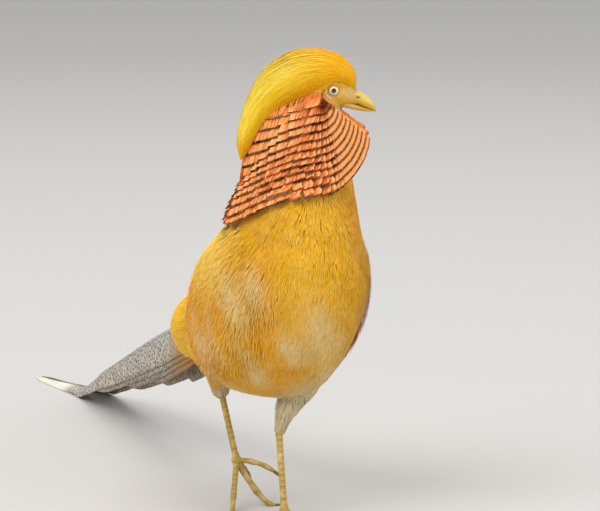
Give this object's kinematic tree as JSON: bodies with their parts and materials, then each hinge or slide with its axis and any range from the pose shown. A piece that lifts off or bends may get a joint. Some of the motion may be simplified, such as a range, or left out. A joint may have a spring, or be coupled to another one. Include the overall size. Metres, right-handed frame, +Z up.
{
  "type": "yellow golden pheasant cock, life-size still model",
  "caption": "Life-size still model of a yellow golden pheasant cock, standing with its head turned and its long tail laid back to the floor.",
  "frame": {"origin": "middle of the whole bird's box, on the floor it stands on", "axes": "+Z up, the breast faces -Y and the tail runs to +Y, +X to the bird's left"},
  "size_m": [0.1814, 0.911, 0.4194],
  "materials": {
    "body_feathers": "soft satin golden yellow feathers",
    "rump_feathers": "soft satin deep yellow feathers",
    "cape_feathers": "orange feathers barred with brown-black",
    "crest_feathers": "silky bright yellow crest",
    "wing_feathers": "brown and orange flight feathers",
    "tail_feathers": "grey tail feathers with a pale net pattern",
    "thigh_feathers": "short cream and buff feathers",
    "leg_scales": "ochre scales, half gloss",
    "bill_horn": "smooth yellow horn",
    "claw_horn": "dark horn",
    "eye_surface": "wet clear eye with a pale iris"
  },
  "bodies": {
    "root": {"torso": "body_feathers", "rump": "rump_feathers", "neck": "cape_feathers", "head": "crest_feathers", "bill_upper": "bill_horn", "bill_lower": "bill_horn", "eye_left": "eye_surface", "eye_right": "eye_surface", "wing_left": "wing_feathers", "wing_right": "wing_feathers", "tail": "tail_feathers", "thigh_left": "thigh_feathers", "thigh_right": "thigh_feathers", "shank_left": "leg_scales", "shank_right": "leg_scales", "foot_left": "leg_scales", "foot_right": "leg_scales", "claw_left_1": "claw_horn", "claw_left_2": "claw_horn", "claw_left_3": "claw_horn", "claw_left_4": "claw_horn", "claw_right_1": "claw_horn", "claw_right_2": "claw_horn", "claw_right_3": "claw_horn", "claw_right_4": "claw_horn"}
  },
  "joints": []
}
